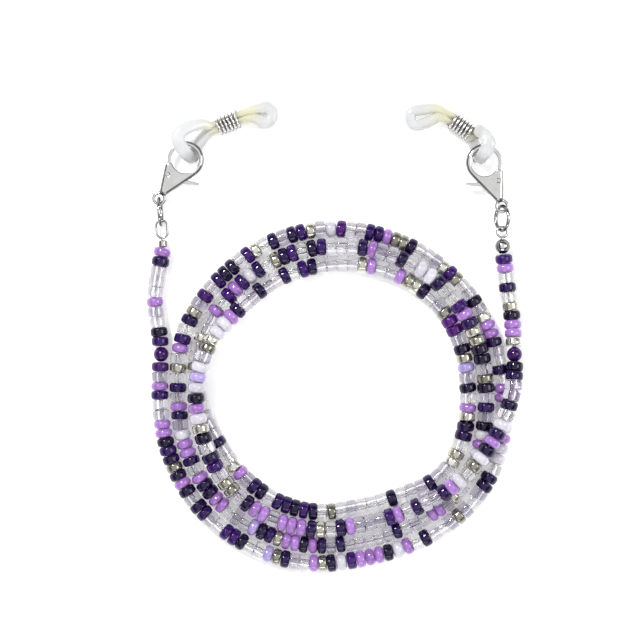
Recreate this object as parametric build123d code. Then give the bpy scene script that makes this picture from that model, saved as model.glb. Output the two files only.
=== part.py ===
from build123d import *
import math
import os

# Beaded eyeglass retainer strap, laid flat and coiled in three and a half loose turns.
# Millimetres. +Z is up, the strap lies on the plane Z = 0, +Y points to the two clasps,
# and the origin is at the middle of the strap's footprint, on that plane.

# ---------------------------------------------------------------- driving dimensions
THREAD_R = 0.20
BEAD_HOLE_R = 0.46
BEAD_GAP = 0.06            # least gap between neighbours on the thread
LIE_Z = 1.8                # height of the thread where a strand lies on the surface

# kind: letter, diameter, length along the thread, edge radius
BEAD_KINDS = {
    "dark": ("d", 3.48, 1.70, 0.55),
    "plum": ("m", 3.48, 1.80, 0.55),
    "lilac": ("l", 3.52, 1.70, 0.74),
    "lavender": ("v", 3.52, 1.75, 0.76),
    "clear": ("c", 3.42, 1.85, 0.42),
    "silver": ("s", 3.42, 1.60, 0.45),
    "pearl": ("p", 3.52, 2.00, 0.92),
}
HINGE_BEAD_R = 1.50        # a round bead sits where each tail leaves the coil

# moves everything so that the footprint's middle is the origin
FRAME_SHIFT = (0.128, -0.163, -0.03)

# the coil: lane radius and strand height at every 20 degrees, from the left side
# counter-clockwise; the lanes are hand laid, so they wander and pass over each other
COIL_X, COIL_Y = 0.3, -10.8
STEP_DEG = 20
FIRST_TURN = [35.0, 35.5, 35.7, 35.1, 34.5, 33.2, 33.8, 34.9, 34.6,
              32.9, 32.8, 32.7, 32.5, 32.5, 32.6, 32.6, 32.3, 32.7]
SECOND_TURN = [31.3, 31.9, 32.1, 31.4, 30.9, 29.6, 30.1, 31.4, 30.5,
               29.5, 29.7, 29.7, 29.5, 29.2, 29.0, 29.0, 28.7, 29.1]
THIRD_TURN = [27.8, 25.7, 24.9, 24.7, 24.2, 23.0, 23.7, 26.7, 26.8,
              26.0, 26.5, 26.7, 26.4, 25.9, 25.4, 25.4, 25.3, 27.1]
LAST_HALF_TURN = [27.8, 27.7, 28.4, 28.1, 27.6, 26.3, 27.0, 29.2, 31.7, 34.8]
# stations where a strand rides up on its neighbours: station number, height
RAISED = {27: 2.8, 28: 3.6, 29: 3.9, 30: 3.8, 31: 3.3, 32: 2.5,
          51: 2.0, 52: 3.4, 53: 5.0, 54: 5.6, 55: 5.0, 56: 3.6,
          57: 3.0, 58: 3.1, 59: 3.2, 60: 3.7, 61: 5.0, 62: 5.6, 63: 5.5}

LEFT_HINGE = (-34.6, -3.2, LIE_Z)
RIGHT_HINGE = (35.5, -3.2, 3.6)
LEFT_TAIL = [LEFT_HINGE, (-34.9, 1.2, 1.8), (-35.7, 5.2, 1.8), (-35.9, 8.9, 1.8),
             (-35.1, 13.2, 1.8), (-34.2, 18.1, 1.8)]
RIGHT_TAIL = [RIGHT_HINGE, (35.5, 1.0, 2.1), (35.1, 5.2, 1.8), (34.3, 9.6, 1.8),
              (33.9, 13.6, 1.8), (33.3, 17.6, 2.2)]

# the beads in order, a quarter turn to a line
LEFT_TAIL_BEADS = "ddcclcccdl"
RIGHT_TAIL_BEADS = "slldscdcld"
COIL_BEADS = [
    "mcl",
    "dcclldddsdldcddccdddccvsdcclsd",
    "pdllldplcdcccscccddcpplpccl",
    "lcdccdllscdccsdscccdsslddccm",
    "pcsddcdcsdcdddcmcsdcdlcscd",
    "cldcplldclddllcccvddslldldc",
    "dcccccdcccllcsccccplpdcdc",
    "dscddssdldccdppcdccldcc",
    "cddcddscdpdldclccsccscc",
    "ccpccdccslcddcdddddcs",
    "cccccdcccdccsscddslc",
    "dcvsdcmmsccdsslcclscc",
    "ccddcdccdccdlppsscpvp",
    "dlpsdcddcsscdllcllldsc",
    "dlcccdlcdccdlpcspdldpcdc",
    "cdd",
]

# clasps: the eye is at the clasp's own origin and the hook's top is along its own +Y
CLASP_Z = 2.8              # mid-plane of the clasp above the surface
CLASP_T = 2.2
OPENING_Y, OPENING_R = 9.3, 2.75
CLASP_R = 3.7
NECK_Y, NECK_R = 1.9, 0.9
EYE_R, EYE_HOLE_R, EYE_T = 1.4, 0.82, 1.0
GATE_FROM, GATE_TO = -48, 45     # the gap in the ring that the gate closes, degrees
GATE_TIP_DEG = 38
TIP_SWEEP_R = 6.82         # the hook's end is cut back along the path of the gate's tip
LEVER_T, LEVER_SLOT_T = 1.1, 1.24
PIVOT = (1.2, 4.9)
HUB_R, SPRING_R, HUB_SPACE_R = 0.82, 0.97, 1.12
RIVET_R, RIVET_CLEARANCE = 0.38, 0.04
LEFT_EYE, LEFT_LEAN = (-34.9, 27.7), -34
RIGHT_EYE, RIGHT_LEAN = (33.1, 26.2), 22

# jump rings and thread ends
RING_WIRE_R, RING_SPLIT = 0.35, 0.08
# each side's jump ring: mean radius, height of its middle, lean from upright in degrees
LEFT_RING = (2.65, 3.03, 0)
RIGHT_RING = (2.4, 2.58, 26)
LEFT_LOOP_SIZE, RIGHT_LOOP_SIZE = (2.6, 4.0), (2.45, 2.6)
LOOP_PLAY = 0.14
LOOP_WIRE_R = 0.22
CRIMP_R, CRIMP_BORE_R, CRIMP_L = 0.85, 0.48, 1.3
COVER_R, COVER_WALL = 1.5, 0.3
COVER_REACH = 0.95         # how far the cover reaches back over the end of the thread

# rubber temple loops
WAIST_R, WAIST_L, WAIST_Z = 1.38, 7.2, 2.02
TEMPLE_TIP_R, TEMPLE_HALF_W = 1.3, 1.3
TEMPLE_T, TEMPLE_Z = 2.5, 1.6
SLIT_L, SLIT_R = 3.8, 0.42
STRAND_R = 0.8             # the two strands that go over and under the hook
SLEEVE_WIRE_R, SLEEVE_R = 0.28, 1.70
SLEEVE_TURNS, SLEEVE_PITCH = 6, 0.76
LEFT_WAIST, LEFT_WAIST_DEG = (-21.3, 42.9), 21.6
RIGHT_WAIST, RIGHT_WAIST_DEG = (25.0, 42.2), 144
LEFT_WIDE, RIGHT_WIDE = (-4, 5.4), (193, 7.4)     # the temple loop's own direction and length
# each strand: its points, then the radius of the arc at each inner point
LEFT_STRANDS = (
    ([(-23.6, 42.3, 2.3), (-27.6, 42.0, 3.9), (-31.0, 40.2, 4.8), (-28.55, 36.0, 4.8), (-28.45, 35.9, 2.8)],
     [2.5, 1.3, 1.15]),
    ([(-28.45, 35.9, 2.8), (-28.35, 35.8, 0.85), (-27.2, 38.9, 0.85), (-23.4, 41.65, 1.75)], [1.15, 2.0]),
)
RIGHT_STRANDS = (
    ([(26.9, 41.1, 2.3), (29.7, 40.2, 4.0), (30.7, 38.6, 4.8), (28.65, 35.75, 4.8), (28.55, 35.6, 2.8)],
     [1.2, 0.9, 1.1]),
    ([(28.55, 35.6, 2.8), (28.45, 35.45, 0.85), (27.9, 38.3, 0.85), (26.7, 40.6, 1.75)], [1.1, 1.6]),
)


# ---------------------------------------------------------------- routes
def coil_points():
    """The coil's route: one point every STEP_DEG, as far out as makes the line pass its lane."""
    lanes = FIRST_TURN + SECOND_TURN + THIRD_TURN + LAST_HALF_TURN
    points = [LEFT_HINGE]
    for station, lane in enumerate(lanes):
        angle = math.radians(180 + STEP_DEG * station)
        reach = lane / math.cos(math.radians(STEP_DEG / 2))
        height = RAISED.get(station, LIE_Z)
        points.append((COIL_X + reach * math.cos(angle), COIL_Y + reach * math.sin(angle), height))
    points.append(RIGHT_HINGE)
    return points


def rounded_route(points, name):
    """Straight runs joined by tangent arcs, each arc as large as its two runs allow."""
    runs = [Vector(b) - Vector(a) for a, b in zip(points, points[1:])]
    radii = []
    for before, after in zip(runs, runs[1:]):
        half_turn = math.radians(before.get_angle(after) / 2)
        radii.append(0.45 * min(before.length, after.length) / math.tan(half_turn))
    longest = max(run.length for run in runs)
    print(name, "least arc radius", round(min(radii), 1), "longest run", round(longest, 1))
    return FilletPolyline(*points, radius=radii)


def stations_along(route, count):
    """Distance along the route at each of its points: its two ends and the middle of each arc."""
    lengths = [edge.length for edge in route.edges()]
    marks = [0.0]
    for corner in range(count - 2):
        marks.append(sum(lengths[:2 * corner + 1]) + lengths[2 * corner + 1] / 2)
    marks.append(sum(lengths))
    return marks


def thread_tube(route, from_mm, to_mm, name):
    """The thread inside the beads, from one distance along the route to another."""
    whole = route.length
    path = route.trim(from_mm / whole, to_mm / whole)
    section = Plane(path @ 0, z_dir=path % 0) * Circle(THREAD_R)
    tube = sweep(section, path)
    filled = tube.volume / (math.pi * THREAD_R ** 2 * path.length)
    print(name, "length", round(path.length, 1), "volume over section x length", round(filled, 4))
    return tube


# ---------------------------------------------------------------- beads
def bead_solid(diameter, length, edge):
    """A seed bead: a short drilled cylinder with rounded ends, its hole along Z."""
    body = Cylinder(diameter / 2, length)
    body = fillet(body.edges(), edge)
    return body - Cylinder(BEAD_HOLE_R, length * 2)


def round_bead(radius):
    """A round drilled bead."""
    return Sphere(radius) - Cylinder(BEAD_HOLE_R, radius * 3)


def bead_library():
    return {letter: bead_solid(d, length, edge) for letter, d, length, edge in BEAD_KINDS.values()}


BEAD_LENGTH = {letter: length for letter, d, length, edge in BEAD_KINDS.values()}


def thread_beads(route, letters, from_mm, to_mm, library, groups):
    """Threads the beads named by letters between two distances, sharing the slack out evenly."""
    taken = sum(BEAD_LENGTH[letter] for letter in letters)
    gap = (to_mm - from_mm - taken) / len(letters)
    if gap < BEAD_GAP:
        print("PROBLEM beads", letters, "are too many by", round((BEAD_GAP - gap) * len(letters), 2))
    at = from_mm + gap / 2
    for letter in letters:
        middle = at + BEAD_LENGTH[letter] / 2
        share = middle / route.length
        place = Plane(route.position_at(share), z_dir=route.tangent_at(share))
        groups.setdefault(letter, []).append(place.location * library[letter])
        at += BEAD_LENGTH[letter] + gap
    return gap


# ---------------------------------------------------------------- clasps
def wedge(reach, from_deg, to_deg):
    """A flat wedge with its apex at the middle of the clasp's opening."""
    corners = [(0, OPENING_Y)]
    for angle in (from_deg, (from_deg + to_deg) / 2, to_deg):
        stretch = reach if angle in (from_deg, to_deg) else reach * 1.5
        turn = math.radians(angle)
        corners.append((stretch * math.cos(turn), OPENING_Y + stretch * math.sin(turn)))
    return make_face(Polyline(*corners, close=True))


def clasp_body():
    """The fixed half of the clasp: eye, neck, spine and hook, slotted for the lever."""
    outline = make_hull((Pos(0, OPENING_Y) * Circle(CLASP_R) + Pos(0, NECK_Y) * Circle(NECK_R)).edges())
    body = extrude(outline, CLASP_T / 2, both=True)
    rims = body.faces().sort_by(Axis.Z)[0].edges() + body.faces().sort_by(Axis.Z)[-1].edges()
    body = fillet(rims, 0.6)
    body += Cylinder(EYE_R, EYE_T)
    body -= Cylinder(EYE_HOLE_R, CLASP_T * 2)
    body -= Pos(0, OPENING_Y) * Cylinder(OPENING_R, CLASP_T * 2)
    body -= extrude(wedge(7, GATE_FROM, GATE_TO), CLASP_T, both=True)
    tip_room = Pos(*PIVOT) * Cylinder(TIP_SWEEP_R, CLASP_T * 2)
    body -= tip_room & Pos(3, OPENING_Y + 2.3) * Box(5.6, 4, CLASP_T * 2)
    slot = make_face(Polyline((0.1, 4.5), (0.35, 7.4), (6, 8.4), (6, 3.9), (1.2, 3.75), close=True))
    slot += make_face(Polyline((1.2, 5.7), (-1.0, 6.0), (-2.9, 6.4), (-6, 7.9), (-6, 2.0), (1.0, 3.85),
                               close=True))
    slot += Pos(*PIVOT) * Circle(HUB_SPACE_R)
    body -= extrude(slot, LEVER_SLOT_T / 2, both=True)
    body -= Pos(*PIVOT) * Cylinder(RIVET_R, CLASP_T * 2)
    return body.solids().sort_by(SortBy.VOLUME)[-1]


def clasp_lever():
    """The sprung gate with its thumb tab, drilled for the rivet."""
    ring = Pos(0, OPENING_Y) * (Circle(3.5) - Circle(2.82))
    gate = ring & wedge(7, -60, GATE_TIP_DEG)
    web = make_face(Polyline((1.3, 6.95), (2.75, 7.3), (2.0, 4.6), (0.45, 5.2), close=True))
    tab = make_face(Polyline((1.2, 4.3), (-2.4, 5.1), (-4.9, 6.45), (-5.0, 6.9), (-2.9, 6.15),
                             (-1.0, 5.8), (1.0, 5.5), close=True))
    flat = gate + web + tab + Pos(*PIVOT) * Circle(HUB_R)
    lever = extrude(flat, LEVER_T / 2, both=True)
    lever -= Pos(*PIVOT) * Cylinder(RIVET_R + RIVET_CLEARANCE, CLASP_T * 2)
    return lever.solids().sort_by(SortBy.VOLUME)[-1]


def clasp_rivet():
    return Pos(*PIVOT) * Cylinder(RIVET_R, CLASP_T + 0.2)


def lever_spring():
    """A thin leaf curled under the lever's hub, which turns the lever back against the hook."""
    spread = make_face(Polyline((0, 0), (-1.6, -1.9), (1.9, -1.6), close=True))
    leaf = (Circle(SPRING_R + 0.06) - Circle(SPRING_R - 0.06)) & spread
    return extrude(Pos(*PIVOT) * leaf, 0.35, both=True)


# ---------------------------------------------------------------- rings, loops and crimps
def jump_ring(radius, tilt):
    """A split ring standing on edge across the eye, leaning over by tilt."""
    ring = Rot(0, 90, 0) * Torus(radius, RING_WIRE_R)
    ring -= Pos(0, 0, radius) * Box(2, RING_SPLIT, 2)
    return Rot(0, tilt, 0) * ring


def end_loop(width, length, stem):
    """A flat wire eye with a stem along -Y that goes into the crimp."""
    bend_r = width / 2 - LOOP_WIRE_R
    run = length - width
    half_space = Pos(0, width, 0) * Box(width * 2, width * 2, width)
    bow = Torus(bend_r, LOOP_WIRE_R) & half_space
    wire = Pos(0, run / 2, 0) * bow + Pos(0, -run / 2, 0) * Rot(0, 0, 180) * bow
    for side in (-1, 1):
        wire += Pos(side * bend_r, 0, 0) * Rot(90, 0, 0) * Cylinder(LOOP_WIRE_R, run)
    foot = Pos(0, -(length / 2 + stem / 2 - LOOP_WIRE_R), 0) * Rot(90, 0, 0) * Cylinder(LOOP_WIRE_R, stem)
    return wire + foot


def crimp():
    """A crushed metal tube that grips the thread and the loop's stem, along Y."""
    tube = Cylinder(CRIMP_R, CRIMP_L)
    tube = fillet(tube.edges(), 0.25)
    return Rot(90, 0, 0) * (tube - Cylinder(CRIMP_BORE_R, CRIMP_L * 2))


def crimp_cover():
    """A hollow ball folded over the crimp, open at both ends, along Y."""
    shell = Sphere(COVER_R) - Sphere(COVER_R - COVER_WALL)
    shell -= Cylinder(0.55, COVER_R * 4)
    seam = Pos(COVER_R, 0, 0) * Box(COVER_R, 0.1, COVER_R * 4)
    return Rot(90, 0, 0) * (shell - seam)


# ---------------------------------------------------------------- rubber loops
def cord_sweep(points, radii, cord_r):
    """A round cord along straight runs and tangent arcs."""
    path = FilletPolyline(*points, radius=radii)
    return sweep(Plane(path @ 0, z_dir=path % 0) * Circle(cord_r), path)


def temple_loop(waist, heading_deg, wide_part, strands):
    """One rubber piece: two strands that meet round the hook, a waist, and the slit temple loop."""
    turn = math.radians(heading_deg)
    ahead = Vector(math.cos(turn), math.sin(turn))
    piece = Plane((waist[0], waist[1], WAIST_Z), z_dir=ahead).location * Cylinder(WAIST_R, WAIST_L)

    wide_deg, wide_length = wide_part
    far = wide_length - TEMPLE_TIP_R
    outline = make_hull((Circle(WAIST_R) + Pos(far, TEMPLE_HALF_W) * Circle(TEMPLE_TIP_R)
                         + Pos(far, -TEMPLE_HALF_W) * Circle(TEMPLE_TIP_R)).edges())
    wide = extrude(outline, TEMPLE_T / 2, both=True)
    wide = fillet(wide.faces().sort_by(Axis.Z)[0].edges() + wide.faces().sort_by(Axis.Z)[-1].edges(), 0.95)
    slit = make_hull((Pos(far - SLIT_L, 0) * Circle(0.25) + Pos(far, 0) * Circle(SLIT_R)).edges())
    wide -= extrude(slit, TEMPLE_T, both=True)
    root = Vector(waist[0], waist[1]) + ahead * (WAIST_L / 2 + WAIST_R - 0.28)
    piece += Location((root.X, root.Y, TEMPLE_Z), (0, 0, wide_deg)) * wide

    for points, radii in strands:
        piece += cord_sweep(points, radii, STRAND_R)
    return piece.solids().sort_by(SortBy.VOLUME)[-1]


def sleeve_coil(waist, heading_deg):
    """The wire coil pushed over the rubber's waist."""
    height = SLEEVE_TURNS * SLEEVE_PITCH
    spine = Helix(SLEEVE_PITCH, height, SLEEVE_R)
    wire = sweep(Plane(spine @ 0, z_dir=spine % 0) * Circle(SLEEVE_WIRE_R), spine, is_frenet=True)
    turn = math.radians(heading_deg)
    place = Plane((waist[0], waist[1], WAIST_Z), z_dir=(math.cos(turn), math.sin(turn), 0))
    return place.location * (Pos(0, 0, -height / 2) * wire)


# ---------------------------------------------------------------- assembly
def write(name, shape):
    shape = Pos(*FRAME_SHIFT) * shape
    shape.label = name
    export_step(shape, "parts/" + name + ".step")


def write_beads(prefix, groups):
    kind_of = {letter: kind for kind, (letter, d, length, edge) in BEAD_KINDS.items()}
    for letter, solids in sorted(groups.items()):
        write(prefix + "_" + kind_of[letter] + "_beads", Compound(children=solids))
        print(prefix, kind_of[letter], len(solids), "beads")


def clasp_place(eye, lean, mirrored):
    """Where a clasp lies; the left one is the right one's mirror image."""
    def put(shape):
        if mirrored:
            shape = mirror(shape, Plane.YZ)
        return Location((eye[0], eye[1], CLASP_Z), (0, 0, lean)) * shape
    return put


def opening_centre(eye, lean):
    turn = math.radians(90 + lean)
    return (eye[0] + OPENING_Y * math.cos(turn), eye[1] + OPENING_Y * math.sin(turn))


def end_fittings(side, eye, lean, mirrored, waist, heading, wide_part, strands):
    put = clasp_place(eye, lean, mirrored)
    write(side + "_clasp_body", put(clasp_body()))
    write(side + "_clasp_lever", put(clasp_lever()))
    write(side + "_clasp_rivet", put(clasp_rivet()))
    write(side + "_lever_spring", put(lever_spring()))
    opening = opening_centre(eye, lean)
    print(side, "opening centre", [round(v, 3) for v in opening])
    write(side + "_temple_loop", temple_loop(waist, heading, wide_part, strands))
    write(side + "_sleeve_coil", sleeve_coil(waist, heading))


def thread_end(side, tail, eye, ring, loop_size):
    """The loop, crimp and jump ring that join a tail of the strand to its clasp."""
    radius, ring_z, tilt = ring
    loop_width, loop_length = loop_size
    foot = Vector(*tail[-1])
    ring_eye = Vector(eye[0], eye[1])
    toward = (ring_eye - Vector(foot.X, foot.Y)).normalized()
    turn = math.degrees(math.atan2(toward.Y, toward.X)) - 90

    def reach_at(height):
        drop = (height - ring_z) / math.cos(math.radians(tilt))
        return math.sqrt(radius ** 2 - drop ** 2)

    ring_at = ring_eye - toward * reach_at(CLASP_Z)
    grip = ring_at - toward * reach_at(foot.Z)
    ring_place = Location((ring_at.X, ring_at.Y, ring_z), (0, 0, turn))
    write(side + "_jump_ring", ring_place * jump_ring(radius, tilt))
    inner_end = loop_length / 2 - 2 * LOOP_WIRE_R - RING_WIRE_R - LOOP_PLAY
    loop_at = grip - toward * inner_end
    stem_top = loop_at - toward * (loop_length / 2 - LOOP_WIRE_R)
    crimp_at = Vector(foot.X, foot.Y) + toward * (CRIMP_L / 2)
    stem = (stem_top - crimp_at).length
    end = Location((loop_at.X, loop_at.Y, foot.Z), (0, 0, turn)) * end_loop(loop_width, loop_length, stem)
    write(side + "_end_loop", end)
    write(side + "_crimp", Location((crimp_at.X, crimp_at.Y, foot.Z), (0, 0, turn)) * crimp())
    print(side, "ring grips the loop at", [round(v, 3) for v in grip])
    return crimp_at, turn, foot.Z


def main():
    os.makedirs("parts", exist_ok=True)
    library = bead_library()
    points = coil_points()
    route = rounded_route(points, "coil")
    marks = stations_along(route, len(points))
    groups = {}
    quarter = 90 / STEP_DEG
    total = marks[-1]

    def mark_at(station):
        low = int(math.floor(station))
        share = station - low
        return marks[low] + share * (marks[min(low + 1, len(marks) - 1)] - marks[low])

    edges = [HINGE_BEAD_R + BEAD_GAP]
    edges += [mark_at(1 + quarter * k) for k in range(15)]
    edges += [total - HINGE_BEAD_R - BEAD_GAP]
    for letters, start, stop in zip(COIL_BEADS, edges, edges[1:]):
        gap = thread_beads(route, letters, start, stop, library, groups)
        print("section", letters[:6], "length", round(stop - start, 1), "gap", round(gap, 3))
    write_beads("coil", groups)
    first = Plane(route @ 0, z_dir=route % 0).location * round_bead(HINGE_BEAD_R)
    last = Plane(route @ 1, z_dir=route % 1).location * round_bead(HINGE_BEAD_R)
    write("coil_joint_beads", Compound(children=[first, last]))
    write("coil_thread", thread_tube(route, 0.1, total - 0.1, "coil thread"))

    tails = (("left", LEFT_TAIL, LEFT_TAIL_BEADS, 0.1),
             ("right", RIGHT_TAIL, RIGHT_TAIL_BEADS, COVER_REACH))
    for side, tail, letters, free in tails:
        way = rounded_route(tail, side + " tail")
        tail_groups = {}
        gap = thread_beads(way, letters, HINGE_BEAD_R + 0.12, way.length - free, library, tail_groups)
        print(side, "tail length", round(way.length, 1), "gap", round(gap, 3))
        write_beads(side + "_tail", tail_groups)
        write(side + "_tail_thread", thread_tube(way, 0.1, way.length, side + " thread"))

    thread_end("left", LEFT_TAIL, LEFT_EYE, LEFT_RING, LEFT_LOOP_SIZE)
    cover_at, turn, height = thread_end("right", RIGHT_TAIL, RIGHT_EYE, RIGHT_RING, RIGHT_LOOP_SIZE)
    write("right_crimp_cover", Location((cover_at.X, cover_at.Y, height), (0, 0, turn)) * crimp_cover())

    end_fittings("left", LEFT_EYE, LEFT_LEAN, True, LEFT_WAIST, LEFT_WAIST_DEG, LEFT_WIDE,
                 LEFT_STRANDS)
    end_fittings("right", RIGHT_EYE, RIGHT_LEAN, False, RIGHT_WAIST, RIGHT_WAIST_DEG, RIGHT_WIDE,
                 RIGHT_STRANDS)


main()
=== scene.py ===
import bpy
import bmesh
import math
import random
from mathutils import Matrix, Vector


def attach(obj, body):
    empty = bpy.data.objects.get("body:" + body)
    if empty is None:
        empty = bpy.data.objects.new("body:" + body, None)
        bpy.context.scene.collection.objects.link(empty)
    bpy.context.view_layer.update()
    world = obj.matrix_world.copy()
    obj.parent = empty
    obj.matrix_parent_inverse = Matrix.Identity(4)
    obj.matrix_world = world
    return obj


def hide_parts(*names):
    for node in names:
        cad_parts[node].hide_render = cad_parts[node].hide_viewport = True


# Beaded eyeglass retainer strap. Metres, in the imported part's own frame: +Z up from the
# surface it lies on, +Y towards the two clasps.

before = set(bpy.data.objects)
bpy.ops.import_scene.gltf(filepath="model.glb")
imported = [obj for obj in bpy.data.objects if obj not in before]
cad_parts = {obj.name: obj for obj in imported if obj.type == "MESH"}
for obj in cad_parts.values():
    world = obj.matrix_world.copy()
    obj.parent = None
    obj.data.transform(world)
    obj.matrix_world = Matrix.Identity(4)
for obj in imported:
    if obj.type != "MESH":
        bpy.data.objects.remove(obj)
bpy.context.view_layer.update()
rng = random.Random(7)

MM = 0.001

# ---------------------------------------------------------------- the part's own numbers (mm)
SHIFT = Vector((0.128, -0.163, -0.03))  # from the drawing's origin to the frame's
LIE_Z = 1.8                             # the thread's height where a row of beads lies on the surface
COIL_X, COIL_Y = 0.3, -10.8             # the coil's middle
STEP_DEG = 20                           # a lane radius is given at each of these steps round the coil
FIRST_TURN = [35.0, 35.5, 35.7, 35.1, 34.5, 33.2, 33.8, 34.9, 34.6,
              32.9, 32.8, 32.7, 32.5, 32.5, 32.6, 32.6, 32.3, 32.7]
SECOND_TURN = [31.3, 31.9, 32.1, 31.4, 30.9, 29.6, 30.1, 31.4, 30.5,
               29.5, 29.7, 29.7, 29.5, 29.2, 29.0, 29.0, 28.7, 29.1]
THIRD_TURN = [27.8, 25.7, 24.9, 24.7, 24.2, 23.0, 23.7, 26.7, 26.8,
              26.0, 26.5, 26.7, 26.4, 25.9, 25.4, 25.4, 25.3, 27.1]
LAST_HALF_TURN = [27.8, 27.7, 28.4, 28.1, 27.6, 26.3, 27.0, 29.2, 31.7, 34.8]
# stations where the thread climbs over another row, and its height there
RAISED = {27: 2.8, 28: 3.6, 29: 3.9, 30: 3.8, 31: 3.3, 32: 2.5,
          51: 2.0, 52: 3.4, 53: 5.0, 54: 5.6, 55: 5.0, 56: 3.6,
          57: 3.0, 58: 3.1, 59: 3.2, 60: 3.7, 61: 5.0, 62: 5.6, 63: 5.5}
LEFT_HINGE = (-34.6, -3.2, LIE_Z)
RIGHT_HINGE = (35.5, -3.2, 3.6)
LEFT_TAIL = [LEFT_HINGE, (-34.9, 1.2, 1.8), (-35.7, 5.2, 1.8), (-35.9, 8.9, 1.8),
             (-35.1, 13.2, 1.8), (-34.2, 18.1, 1.8)]
RIGHT_TAIL = [RIGHT_HINGE, (35.5, 1.0, 2.1), (35.1, 5.2, 1.8), (34.3, 9.6, 1.8),
              (33.9, 13.6, 1.8), (33.3, 17.6, 2.2)]
THREAD_R = 0.20
LEFT_BARE, RIGHT_BARE = 0.1, 0.95       # thread that is left bare between the last bead and the crimp

# The beads in their order along the thread, one letter each: the kinds are listed below. The coil's are
# split at every quarter turn.
LEFT_TAIL_BEADS = "ddcclcccdl"
RIGHT_TAIL_BEADS = "slldscdcld"
COIL_BEADS = [
    "mcl",
    "dcclldddsdldcddccdddccvsdcclsd",
    "pdllldplcdcccscccddcpplpccl",
    "lcdccdllscdccsdscccdsslddccm",
    "pcsddcdcsdcdddcmcsdcdlcscd",
    "cldcplldclddllcccvddslldldc",
    "dcccccdcccllcsccccplpdcdc",
    "dscddssdldccdppcdccldcc",
    "cddcddscdpdldclccsccscc",
    "ccpccdccslcddcdddddcs",
    "cccccdcccdccsscddslc",
    "dcvsdcmmsccdsslcclscc",
    "ccddcdccdccdlppsscpvp",
    "dlpsdcddcsscdllcllldsc",
    "dlcccdlcdccdlpcspdldpcdc",
    "cdd",
]
# kind: radius, length along the thread, edge radius
KINDS = {"d": (1.74, 1.70, 0.55), "m": (1.74, 1.80, 0.55), "l": (1.76, 1.70, 0.76),
         "v": (1.76, 1.75, 0.78), "c": (1.71, 1.85, 0.42), "s": (1.71, 1.60, 0.45),
         "p": (1.76, 2.00, 0.92)}
NAMES = {"d": "dark", "m": "plum", "l": "lilac", "v": "lavender", "c": "clear", "s": "silver", "p": "pearl"}
HOLE_R = 0.46
LIP = 0.16                              # the rounding at a hole's mouth
BELLY = 0.015                           # how far a bead's side swells past its radius
JOINT_BEAD_R = 1.50                     # the round bead at each end of the coil
COIL_GAP, TAIL_GAP = 0.06, 0.12         # from that round bead to the first bead beside it
FILLED = 0.985                          # how much of its room on the thread a bead takes
# How beads of one kind differ: ranges of three factors, and the spread of tilt (radians) and unroundness.
THICKER, LONGER, ROUNDER = (0.97, 1.0), (0.96, 1.0), (0.85, 1.1)
TILT, OVAL, LUMPY = 0.045, 0.012, 0.008


def here(p):
    """A point in the part's drawing, in millimetres, as a place in the frame, in metres."""
    return (Vector(p) + SHIFT) * MM


# ---------------------------------------------------------------- camera and light
def look():
    """A long lens straight above, as in the photograph."""
    cam = bpy.data.objects.new("camera", bpy.data.cameras.new("camera"))
    bpy.context.collection.objects.link(cam)
    cam.data.lens = 100
    cam.data.sensor_width = 36
    seen_width = 0.128
    cam.location = (-0.002872, 0.003437, seen_width * cam.data.lens / cam.data.sensor_width)
    cam.rotation_euler = (0, 0, 0)
    cam.data.clip_start = 0.01
    bpy.context.scene.camera = cam


def lamp_at(name, where, size, power):
    """A rectangular lamp that points at the strap."""
    data = bpy.data.lights.new(name, "AREA")
    data.shape = "RECTANGLE"
    data.size, data.size_y = size
    data.energy = power
    lamp = bpy.data.objects.new(name, data)
    bpy.context.collection.objects.link(lamp)
    lamp.location = where
    lamp.rotation_euler = (Vector((0, 0, 0)) - Vector(where)).to_track_quat("-Z", "Y").to_euler()


def studio():
    """Soft lamps, and a sky that is bright low down and overhead and dark between, so metal stands out."""
    lamp_at("key", (-0.20, 0.26, 0.44), (0.08, 0.08), 1.9)
    lamp_at("fill", (0.36, 0.05, 0.36), (0.24, 0.24), 0.7)
    lamp_at("low", (0.0, -0.45, 0.28), (0.4, 0.12), 0.6)
    world = bpy.data.worlds.new("studio")
    bpy.context.scene.world = world
    world.use_nodes = True
    tree = world.node_tree
    coord = tree.nodes.new("ShaderNodeTexCoord")
    split = tree.nodes.new("ShaderNodeSeparateXYZ")
    tree.links.new(coord.outputs["Generated"], split.inputs["Vector"])
    sky = ramp(tree, [(0.0, (0.9, 0.9, 0.9)), (0.22, (1.0, 1.0, 1.0)), (0.36, (0.30, 0.30, 0.31)),
                      (0.50, (0.04, 0.04, 0.045)), (0.68, (0.10, 0.10, 0.11)), (0.84, (0.85, 0.85, 0.86)),
                      (1.0, (1.0, 1.0, 1.0))], split.outputs["Z"])
    tree.links.new(sky.outputs["Color"], tree.nodes["Background"].inputs["Color"])
    tree.nodes["Background"].inputs["Strength"].default_value = 0.95
    bpy.context.scene.view_settings.view_transform = "Standard"


# ---------------------------------------------------------------- materials
def nodes_of(name):
    """A new material, its node tree and its shader."""
    mat = bpy.data.materials.new(name)
    mat.use_nodes = True
    tree = mat.node_tree
    return mat, tree, tree.nodes["Principled BSDF"]


def add(tree, kind, **values):
    """A new node with these values on its sockets."""
    node = tree.nodes.new(kind)
    for key, value in values.items():
        node.inputs[key].default_value = value
    return node


def ramp(tree, stops, fac):
    """A colour ramp with these stops, each a position and a colour."""
    node = tree.nodes.new("ShaderNodeValToRGB")
    first, *middle, last = stops
    node.color_ramp.elements[0].position = first[0]
    node.color_ramp.elements[0].color = (*first[1], 1)
    node.color_ramp.elements[1].position = last[0]
    node.color_ramp.elements[1].color = (*last[1], 1)
    for at, colour in middle:
        node.color_ramp.elements.new(at).color = (*colour, 1)
    tree.links.new(fac, node.inputs["Fac"])
    return node


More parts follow.
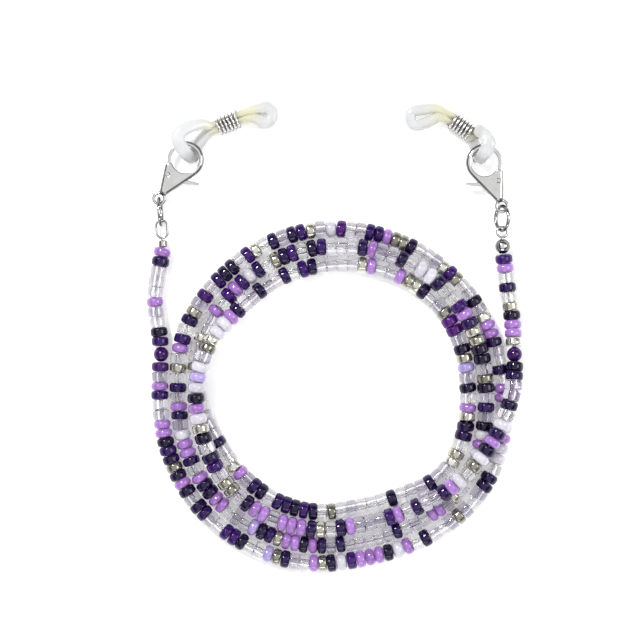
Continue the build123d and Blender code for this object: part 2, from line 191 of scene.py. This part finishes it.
def tint_of(tree):
    """A number from 0 to 1 that each vertex stores: a bead's own shade, or how far rubber has yellowed and,
    at the top, its painted shadow inside the sleeve.
    """
    tint = tree.nodes.new("ShaderNodeAttribute")
    tint.attribute_name = "tint"
    return tint.outputs["Fac"]


BUMP_DEPTH = 0.00005


def fine_bump(tree, shader, scale, strength):
    """Small unevenness over the surface; hands back its noise, which can also vary the colour."""
    coord = tree.nodes.new("ShaderNodeTexCoord")
    noise = add(tree, "ShaderNodeTexNoise", Scale=scale, Detail=4.0)
    tree.links.new(coord.outputs["Object"], noise.inputs["Vector"])
    bump = add(tree, "ShaderNodeBump", Strength=strength, Distance=BUMP_DEPTH)
    tree.links.new(noise.outputs["Fac"], bump.inputs["Height"])
    tree.links.new(bump.outputs["Normal"], shader.inputs["Normal"])
    return noise


def glass_bead(name, stops, transmission, rough, bump=0.15, metallic=0.0, grain=900,
               specular=0.5, coat=1.0):
    """Glass whose beads differ a little: the stops are the colours for a bead's shade from 0 to 1."""
    mat, tree, shader = nodes_of(name)
    colour = ramp(tree, stops, tint_of(tree))
    tree.links.new(colour.outputs["Color"], shader.inputs["Base Color"])
    shader.inputs["Roughness"].default_value = rough
    shader.inputs["Metallic"].default_value = metallic
    shader.inputs["Transmission Weight"].default_value = transmission
    shader.inputs["IOR"].default_value = 1.5
    shader.inputs["Specular IOR Level"].default_value = specular
    shader.inputs["Coat Weight"].default_value = coat
    shader.inputs["Coat Roughness"].default_value = 0.03
    fine_bump(tree, shader, grain, bump)
    return mat


MIX_A, MIX_B, MIX_RESULT = 6, 7, 2      # the colour sockets of a Mix node, whose names are not unique


def grey(level):
    return (level, level, level)


def metal(name, colour, rough, turn=(0.50, 0.70, 0.82)):
    """Bright plating with painted shade: full brightness where a face points up or down, darker where it
    turns over its flanks, a painted shade standing in for the dark surroundings that the plating reflects
    there.

    The three numbers of turn are how far up a face points, from 0 to 1, where the painted shade is darkest,
    in between and gone.
    """
    mat, tree, shader = nodes_of(name)
    shader.inputs["Metallic"].default_value = 1.0
    noise = fine_bump(tree, shader, 700, 0.06)
    tone = ramp(tree, [(0.3, tuple(c * 0.9 for c in colour)), (0.7, colour)], noise.outputs["Fac"])
    coord = tree.nodes.new("ShaderNodeTexCoord")
    split = tree.nodes.new("ShaderNodeSeparateXYZ")
    upness = tree.nodes.new("ShaderNodeMath")
    upness.operation = "ABSOLUTE"
    tree.links.new(coord.outputs["Normal"], split.inputs["Vector"])
    tree.links.new(split.outputs["Z"], upness.inputs[0])
    dark, between, unshaded_at = turn
    # painted shade: the colour darkens where a face turns over its flanks, in place of reflected dark
    # surroundings
    painted_side_shade = ramp(tree, [(0.0, grey(0.58)), (dark * 0.4, grey(0.42)), (dark, grey(0.20)),
                        (between, grey(0.55)), (unshaded_at, grey(1.0))], upness.outputs["Value"])
    both = tree.nodes.new("ShaderNodeMix")
    both.data_type = "RGBA"
    both.blend_type = "MULTIPLY"
    both.inputs["Factor"].default_value = 1.0
    tree.links.new(tone.outputs["Color"], both.inputs[MIX_A])
    tree.links.new(painted_side_shade.outputs["Color"], both.inputs[MIX_B])
    tree.links.new(both.outputs[MIX_RESULT], shader.inputs["Base Color"])
    shader.inputs["Roughness"].default_value = rough
    return mat


def rubber():
    """Clear rubber that has yellowed beside the sleeve, with painted shadow: dark where the sleeve grips
    it.
    """
    mat, tree, shader = nodes_of("clear_rubber")
    fine_bump(tree, shader, 300, 0.12)
    # yellowed up to 0.68; above that the colour darkens into painted shadow where the sleeve covers the
    # rubber
    tone = ramp(tree, [(0.0, (0.80, 0.81, 0.82)), (0.35, (0.82, 0.82, 0.76)), (0.68, (0.84, 0.82, 0.60)),
                       (0.84, (0.45, 0.44, 0.36)), (1.0, (0.16, 0.16, 0.14))], tint_of(tree))
    tree.links.new(tone.outputs["Color"], shader.inputs["Base Color"])
    shader.inputs["Roughness"].default_value = 0.22
    shader.inputs["Transmission Weight"].default_value = 0.35
    shader.inputs["IOR"].default_value = 1.41
    shader.inputs["Coat Weight"].default_value = 0.5
    shader.inputs["Coat Roughness"].default_value = 0.1
    return mat


def thread_stuff():
    """Pale thread with a fuzzy surface."""
    mat, tree, shader = nodes_of("thread")
    noise = fine_bump(tree, shader, 6000, 0.6)
    tone = ramp(tree, [(0.3, (0.62, 0.62, 0.66)), (0.7, (0.85, 0.85, 0.88))], noise.outputs["Fac"])
    tree.links.new(tone.outputs["Color"], shader.inputs["Base Color"])
    shader.inputs["Roughness"].default_value = 0.6
    return mat


MATS = {
    "d": glass_bead("dark_glass", [(0.0, (0.004, 0.001, 0.016)), (0.45, (0.010, 0.001, 0.044)),
                                   (0.8, (0.021, 0.002, 0.082)), (1.0, (0.040, 0.003, 0.125))], 0.0, 0.16,
                    specular=0.0, coat=0.85),
    "m": glass_bead("plum_glass", [(0.0, (0.035, 0.003, 0.09)), (1.0, (0.08, 0.006, 0.17))], 0.0, 0.16,
                    specular=0.0, coat=0.85),
    "l": glass_bead("lilac_glass", [(0.0, (0.30, 0.12, 0.44)), (1.0, (0.40, 0.19, 0.60))], 0.0, 0.22),
    "v": glass_bead("lavender_glass", [(0.0, (0.36, 0.27, 0.60)), (1.0, (0.45, 0.35, 0.70))], 0.0, 0.22),
    "c": glass_bead("clear_glass", [(0.0, (0.66, 0.63, 0.72)), (0.4, (0.89, 0.87, 0.92)),
                                    (0.7, (0.97, 0.96, 0.98)), (1.0, (1.0, 1.0, 1.0))], 1.0, 0.0, bump=0.2),
    "s": glass_bead("silver_lined_glass", [(0.0, (0.22, 0.21, 0.17)), (0.5, (0.52, 0.51, 0.43)),
                                           (1.0, (0.90, 0.89, 0.80))], 0.0, 0.14, bump=1.0, metallic=0.85,
                   grain=1900),
    "p": glass_bead("pearl_glass", [(0.0, (0.62, 0.60, 0.68)), (1.0, (0.76, 0.74, 0.82))], 0.1, 0.2),
}
THREAD = thread_stuff()
RUBBER = rubber()
# each metal darkens its flanks as painted shade, by the numbers of turn
SILVER = metal("plated_metal", (0.72, 0.715, 0.71), 0.10, turn=(0.60, 0.80, 0.93))
SLEEVE = metal("sleeve_wire", (0.92, 0.91, 0.89), 0.16, turn=(0.22, 0.45, 0.58))
STEEL = metal("spring_steel", (0.55, 0.54, 0.53), 0.3)


def soften(obj, grain, passes):
    """Rounds the edges all over, as tumbling leaves a small cast piece. The grain is in metres."""
    skin = obj.modifiers.new("skin", "REMESH")
    skin.mode = "VOXEL"
    skin.voxel_size = grain
    skin.use_smooth_shade = True
    even = obj.modifiers.new("even", "SMOOTH")
    even.factor = 0.6
    even.iterations = passes


def dress(obj, mat):
    """Gives a piece this one material."""
    obj.data.materials.clear()
    obj.data.materials.append(mat)


# ---------------------------------------------------------------- routes
def coil_points():
    """The coil's route points: the corners whose sides touch the lanes, from one hinge to the other."""
    lanes = FIRST_TURN + SECOND_TURN + THIRD_TURN + LAST_HALF_TURN
    points = [LEFT_HINGE]
    for station, lane in enumerate(lanes):
        angle = math.radians(180 + STEP_DEG * station)
        reach = lane / math.cos(math.radians(STEP_DEG / 2))
        points.append((COIL_X + reach * math.cos(angle), COIL_Y + reach * math.sin(angle),
                       RAISED.get(station, LIE_Z)))
    points.append(RIGHT_HINGE)
    return points


def nurbs(name, points, radius):
    """A smooth open cord with these route points as its control points."""
    curve = bpy.data.curves.new(name, "CURVE")
    curve.dimensions = "3D"
    curve.resolution_u = 24
    spline = curve.splines.new("NURBS")
    spline.points.add(len(points) - 1)
    for point, place in zip(spline.points, points):
        point.co = (*here(place), 1)
    spline.order_u = 3
    spline.use_endpoint_u = True
    curve.bevel_depth = radius * MM
    curve.bevel_resolution = 3
    curve.use_fill_caps = True
    obj = bpy.data.objects.new(name, curve)
    bpy.context.collection.objects.link(obj)
    return obj


def line_of(obj):
    """The cord's own line, as points along it, read from a copy with no bevel."""
    bare = obj.data.copy()
    bare.bevel_depth = 0
    holder = bpy.data.objects.new("bare", bare)
    bpy.context.collection.objects.link(holder)
    bpy.context.view_layer.update()
    mesh = bpy.data.meshes.new_from_object(holder)
    points = [v.co.copy() for v in mesh.vertices]
    bpy.data.objects.remove(holder)
    bpy.data.meshes.remove(mesh)
    return points


class Line:
    """Places and directions by distance along a list of points."""

    REACH = 4e-4                        # a heading is taken over this distance to either side

    def __init__(self, points):
        self.points = points
        self.at = [0.0]
        for a, b in zip(points, points[1:]):
            self.at.append(self.at[-1] + (b - a).length)
        self.length = self.at[-1]

    def place(self, distance):
        distance = min(max(distance, 0.0), self.length)
        low = 0
        high = len(self.at) - 1
        while high - low > 1:
            mid = (low + high) // 2
            if self.at[mid] <= distance:
                low = mid
            else:
                high = mid
        a, b = self.points[low], self.points[high]
        share = (distance - self.at[low]) / max(self.at[high] - self.at[low], 1e-12)
        return a.lerp(b, share)

    def heading(self, distance):
        return (self.place(distance + self.REACH) - self.place(distance - self.REACH)).normalized()


# ---------------------------------------------------------------- shapes made of rings
def join_rings(mesh, rings):
    """Smooth faces between each ring of vertices and the next."""
    for a, b in zip(rings, rings[1:]):
        count = len(a)
        for k in range(count):
            face = mesh.faces.new((a[k], a[(k + 1) % count], b[(k + 1) % count], b[k]))
            face.smooth = True


def piece_of(mesh, data_name, name, mat):
    """A finished mesh as a piece in the scene, in its material."""
    bmesh.ops.recalc_face_normals(mesh, faces=mesh.faces)
    data = bpy.data.meshes.new(data_name)
    mesh.to_mesh(data)
    mesh.free()
    obj = bpy.data.objects.new(name, data)
    bpy.context.collection.objects.link(obj)
    dress(obj, mat)
    return obj


# ---------------------------------------------------------------- beads
def bead_profile(radius, length, edge, steps=6):
    """Half section of a bead, from the hole's one mouth round the outside to the other."""
    half = length / 2
    section = [(HOLE_R, -half + LIP * 1.3), (HOLE_R + LIP * 0.3, -half + LIP * 0.35), (HOLE_R + LIP, -half),
               (radius - edge, -half)]
    for k in range(1, steps + 1):
        turn = math.pi / 2 * k / steps
        section.append((radius - edge + edge * math.sin(turn), -half + edge - edge * math.cos(turn)))
    mirror = [(r, -z) for r, z in reversed(section)]
    return section + [(radius + BELLY, 0.0)] + mirror


def add_bead(mesh, tint_layer, kind, place, heading, spin, own, tint, ring=28):
    """One bead; own holds what makes it differ from the others of its kind."""
    thicker, longer, rounder, tilt_x, tilt_y, oval, lumpy = own
    radius, length, edge = KINDS[kind]
    radius, length = radius * thicker, length * longer
    edge = min(edge * rounder, length * 0.48)
    section = bead_profile(radius, length, edge)
    turn = heading.to_track_quat("Z", "Y").to_matrix()
    tilt = Matrix.Rotation(tilt_x, 3, "X") @ Matrix.Rotation(tilt_y, 3, "Y")
    rings = []
    for r, z in section:
        loop = []
        for k in range(ring):
            angle = 2 * math.pi * k / ring + spin
            out = r * (1 + oval * math.cos(2 * angle) + lumpy * math.cos(3 * angle + 1))
            local = tilt @ Vector((out * math.cos(angle), out * math.sin(angle), z))
            vert = mesh.verts.new(place + (turn @ local) * MM)
            vert[tint_layer] = tint
            loop.append(vert)
        rings.append(loop)
    join_rings(mesh, rings + rings[:1])


def beads_along(prefix, line, letters, start, stop, store):
    """Threads the beads between two distances, each a little longer or shorter so that they touch."""
    taken = sum(KINDS[c][1] for c in letters) * MM
    stretch = (stop - start) / taken
    at = start
    for c in letters:
        room = KINDS[c][1] * MM * stretch
        middle = at + room / 2
        store.append((prefix, c, line.place(middle), line.heading(middle), stretch * FILLED))
        at += room


def build_beads(store, body):
    """One piece for each kind of bead on this body."""
    pieces = []
    groups = {}
    for prefix, c, place, heading, stretch in store:
        groups.setdefault((prefix, c), []).append((place, heading, stretch))
    for (prefix, c), spots in sorted(groups.items()):
        mesh = bmesh.new()
        layer = mesh.verts.layers.float.new("tint")
        for place, heading, stretch in spots:
            own = (rng.uniform(*THICKER), rng.uniform(*LONGER) * stretch, rng.uniform(*ROUNDER),
                   rng.gauss(0, TILT), rng.gauss(0, TILT), rng.uniform(-OVAL, OVAL),
                   rng.uniform(-LUMPY, LUMPY))
            add_bead(mesh, layer, c, place, heading, rng.uniform(0, 6.28), own, rng.random())
        obj = piece_of(mesh, f"{prefix}_{NAMES[c]}", f"{prefix}_{NAMES[c]}_glass", MATS[c])
        node = f"{prefix}_{NAMES[c]}_beads"
        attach(obj, body)
        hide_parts(node)
        pieces.append(obj)
    return pieces


def coil():
    """The coiled thread with its beads."""
    route = coil_points()
    cord = nurbs("coil_cord", route, THREAD_R)
    line = Line(line_of(cord))
    store = []
    stations_a_quarter = 90 / STEP_DEG
    count = len(line.points) - 1
    spans = len(route) - 2

    def distance_at(index):
        """The distance along the thread of a route point: the spline's points are even between these."""
        u = min(max((index - 0.5) / spans, 0.0), 1.0)
        whole = u * count
        low = int(whole)
        high = min(low + 1, count)
        return line.at[low] + (line.at[high] - line.at[low]) * (whole - low)

    clear = (JOINT_BEAD_R + COIL_GAP) * MM
    edges = [clear]
    edges += [distance_at(1 + stations_a_quarter * k) for k in range(len(COIL_BEADS) - 1)]
    edges += [line.length - clear]
    for letters, start, stop in zip(COIL_BEADS, edges, edges[1:]):
        beads_along("coil", line, letters, start, stop, store)
    pieces = build_beads(store, "coil")
    dress(cord, THREAD)
    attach(cord, "coil")
    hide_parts("coil_thread")


def tail_strand(side, route, letters, bare):
    """The short beaded end of one side, from the coil's round bead to the crimp."""
    tail = nurbs(f"{side}_tail_cord", route, THREAD_R)
    line = Line(line_of(tail))
    store = []
    start, stop = (JOINT_BEAD_R + TAIL_GAP) * MM, line.length - bare * MM
    beads_along(f"{side}_tail", line, letters, start, stop, store)
    build_beads(store, f"{side}_tail")
    dress(tail, THREAD)
    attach(tail, f"{side}_tail")
    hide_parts(f"{side}_tail_thread")


# ---------------------------------------------------------------- rubber loops
WAIST_Z, TEMPLE_Z = 2.02, 1.6           # heights of the rubber inside the sleeve and at the temple slit
WAIST_W, WAIST_H = 0.64, 1.12           # half width and half height of each strand inside the sleeve
WAIST_APART = 0.66                      # each strand's middle from the sleeve's
FORK = 4.7                              # the temple slit opens this far ahead of the sleeve's middle
# inside the sleeve these shades reach painted shadow: the rubber is darkened where the sleeve covers it
WAIST_STATIONS = [(2.4, 1.05), (0.8, 1.45), (-0.8, 1.45), (-2.4, 1.05)]  # ahead of the middle, shade
# Half width, half height and shade at each point of "over", "turn" and "under".
OVER_SIZES = [(1.2, 0.85, 0.3), (1.3, 0.78, 0.1), (1.38, 0.76, 0), (1.38, 0.74, 0), (1.25, 0.7, 0)]
TURN_SIZES = [(1.15, 0.7, 0)]
UNDER_SIZES = [(1.1, 0.7, 0), (1.15, 0.74, 0), (1.15, 0.76, 0.1), (1.1, 0.85, 0.4)]
SQUARENESS = 2.6                        # the section is a superellipse: 2 would be an ellipse
UPRIGHT = 0.35                          # a heading with less than this in plan counts as upright
SHADE_SPAN, SHADE_RIPPLE = 0.68, 0.04   # from a station's shade to the material's tint
# waist: the sleeve's middle; wide_deg, wide: heading and length of the temple slit; full: its plumpness;
# over, turn, under: where the rubber passes over the clasp's hook, down through it and back below.
RUBBERS = {
    "left": {
        "waist": (-21.3, 42.9), "waist_deg": 21.6, "wide_deg": -4, "wide": 5.4, "full": 1.16,
        "over": [(-26.7, 42.4, 3.3), (-29.4, 41.5, 4.5), (-31.0, 39.9, 4.85), (-30.6, 38.1, 4.85),
                 (-29.4, 36.5, 4.5)],
        "turn": [(-28.6, 35.8, 2.9)],
        "under": [(-28.2, 36.1, 1.15), (-27.6, 37.8, 0.86), (-26.6, 39.5, 0.9), (-25.2, 40.8, 1.3)],
    },
    "right": {
        "waist": (25.0, 42.2), "waist_deg": 144, "wide_deg": 193, "wide": 7.4, "full": 1.0,
        "over": [(28.3, 41.2, 3.4), (29.7, 40.1, 4.5), (30.3, 38.7, 4.85), (29.9, 37.3, 4.85),
                 (29.2, 36.2, 4.5)],
        "turn": [(28.7, 35.5, 2.9)],
        "under": [(28.5, 35.8, 1.15), (28.2, 37.2, 0.86), (27.7, 38.7, 0.9), (27.2, 39.8, 1.3)],
    },
}


def along(centre, degrees):
    """A function from (ahead, across) to a place in plan, from a centre and a heading."""
    turn = math.radians(degrees)
    ahead = Vector((math.cos(turn), math.sin(turn)))
    across = Vector((-ahead.y, ahead.x))
    return lambda a, c: Vector(centre) + ahead * a + across * c


def rubber_route(spec):
    """Stations round the closed rubber cord: place, half width, half height, shade.

    Shade 0 is clear rubber, about 1 is yellowed and 1.45 is dark with painted shadow inside the sleeve.
    """
    waist = along(spec["waist"], spec["waist_deg"])
    temple = along(waist(FORK, 0), spec["wide_deg"])
    flip = 1 if spec["waist"][0] < 0 else -1
    reach, full = spec["wide"], spec["full"]
    # one flank of the temple slit, from its tip back: ahead, across, height, then as in the route
    flank = [(reach - 1.15, 0.7, TEMPLE_Z, 1.1 * full, 1.15, 0.0),
             (reach - 2.0, 1.45, TEMPLE_Z, 1.15 * full, 1.2, 0.05),
             (reach * 0.42, 1.35, TEMPLE_Z, 1.15 * full, 1.2, 0.25),
             (reach * 0.1, 0.85, TEMPLE_Z + 0.15, 0.95, 1.2, 0.85)]
    route = []

    def put(xy, z, half_w, half_h, shade):
        route.append((Vector((xy[0], xy[1], z)), half_w, half_h, shade))

    def put_flank(stations, side):
        for ahead, across, z, half_w, half_h, shade in stations:
            put(temple(ahead, across * side), z, half_w, half_h, shade)

    def put_waist(stations, side):
        for ahead, shade in stations:
            put(waist(ahead, WAIST_APART * side), WAIST_Z, WAIST_W, WAIST_H, shade)

    def put_hook(places, sizes):
        for (x, y, z), (half_w, half_h, shade) in zip(places, sizes):
            put((x, y), z, half_w, half_h, shade)

    put_flank(flank[:1], -flip)
    put_flank(flank, flip)
    put_waist(WAIST_STATIONS, flip)
    put(waist(-3.8, 0.75 * flip), WAIST_Z + 0.4, 0.95, 1.0, 0.8)  # climbing out of the sleeve to the hook
    put_hook(spec["over"], OVER_SIZES)
    put_hook(spec["turn"], TURN_SIZES)
    put_hook(spec["under"], UNDER_SIZES)
    put_waist(reversed(WAIST_STATIONS), -flip)
    put_flank(reversed(flank[1:]), -flip)
    return route


def through(a, b, c, d, t):
    """A smooth place between b and c, at share t, with a and d as the neighbours."""
    return 0.5 * ((2 * b) + (c - a) * t + (2 * a - 5 * b + 4 * c - d) * t * t
                  + (3 * b - a - 3 * c + d) * t ** 3)


def rubber_loop(side, steps=7, ring=24):
    """The closed rubber cord of one side, swept along its route."""
    route = rubber_route(RUBBERS[side])
    count = len(route)
    stations = []
    for k in range(count):
        a, b, c, d = (route[(k + j) % count] for j in (-1, 0, 1, 2))
        for step in range(steps):
            t = step / steps
            place = through(a[0], b[0], c[0], d[0], t)
            half_w = b[1] + (c[1] - b[1]) * t
            half_h = b[2] + (c[2] - b[2]) * t
            shade = b[3] + (c[3] - b[3]) * t
            stations.append((place, half_w, half_h, shade))
    total = len(stations)
    mesh = bmesh.new()
    layer = mesh.verts.layers.float.new("tint")
    wide = None
    rings = []
    for k, (place, half_w, half_h, shade) in enumerate(stations):
        # the section's width stays level, and keeps its last direction where the cord stands upright
        heading = (stations[(k + 1) % total][0] - stations[k - 1][0]).normalized()
        flat = Vector((-heading.y, heading.x, 0))
        if flat.length < UPRIGHT and wide is not None:
            flat = wide - heading * wide.dot(heading)
        flat.normalize()
        if wide is not None and flat.dot(wide) < 0:
            flat = -flat
        wide = flat
        tall = heading.cross(wide).normalized()
        loop = []
        for j in range(ring):
            turn = 2 * math.pi * j / ring
            c, q = math.cos(turn), math.sin(turn)
            swell = (abs(c) ** SQUARENESS + abs(q) ** SQUARENESS) ** (-1 / SQUARENESS)
            local = wide * (half_w * c * swell) + tall * (half_h * q * swell)
            vert = mesh.verts.new(here(place + local))
            ripple = SHADE_RIPPLE * math.sin(3 * turn + k * 0.21)
            vert[layer] = min(max(SHADE_SPAN * shade + ripple, 0), 1)
            loop.append(vert)
        rings.append(loop)
    # the last ring joins the first, half a turn on if the width came round the other way
    first = (rings[0][0].co - rings[0][ring // 2].co).normalized()
    last = (rings[-1][0].co - rings[-1][ring // 2].co).normalized()
    offset = ring // 2 if first.dot(last) < 0 else 0
    join_rings(mesh, rings + [rings[0][offset:] + rings[0][:offset]])
    obj = piece_of(mesh, f"{side}_rubber", f"{side}_rubber_loop", RUBBER)
    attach(obj, f"{side}_loop")
    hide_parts(f"{side}_temple_loop")


# ---------------------------------------------------------------- everything else
def fittings():
    """Materials on the pieces that keep their CAD shape, and the rubber loops."""
    for side in ("left", "right"):
        for part in ("clasp_body", "clasp_lever", "clasp_rivet", "jump_ring", "end_loop", "crimp"):
            dress(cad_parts[f"{side}_{part}"], SILVER)
        dress(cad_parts[f"{side}_sleeve_coil"], SLEEVE)
        soften(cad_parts[f"{side}_clasp_body"], grain=0.00011, passes=14)
        soften(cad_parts[f"{side}_clasp_lever"], grain=0.00007, passes=5)
        dress(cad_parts[f"{side}_lever_spring"], STEEL)
        rubber_loop(side)
    dress(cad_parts["right_crimp_cover"], SILVER)
    dress(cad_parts["coil_joint_beads"], MATS["m"])


def floor():
    """A plain pale floor, a hair under the strap so that the two never share a face."""
    mesh = bpy.data.meshes.new("floor")
    half, low = 1.5, -2e-5
    mesh.from_pydata([(-half, -half, low), (half, -half, low), (half, half, low), (-half, half, low)],
                     [], [(0, 1, 2, 3)])
    obj = bpy.data.objects.new("floor", mesh)
    bpy.context.collection.objects.link(obj)
    mat, _, shader = nodes_of("floor")
    shader.inputs["Base Color"].default_value = (0.98, 0.98, 0.98, 1)
    shader.inputs["Roughness"].default_value = 0.9
    shader.inputs["Specular IOR Level"].default_value = 0.1
    shader.inputs["Emission Color"].default_value = (1, 1, 1, 1)
    shader.inputs["Emission Strength"].default_value = 0.32
    dress(obj, mat)


look()
studio()
floor()
coil()
tail_strand("left", LEFT_TAIL, LEFT_TAIL_BEADS, LEFT_BARE)
tail_strand("right", RIGHT_TAIL, RIGHT_TAIL_BEADS, RIGHT_BARE)
fittings()
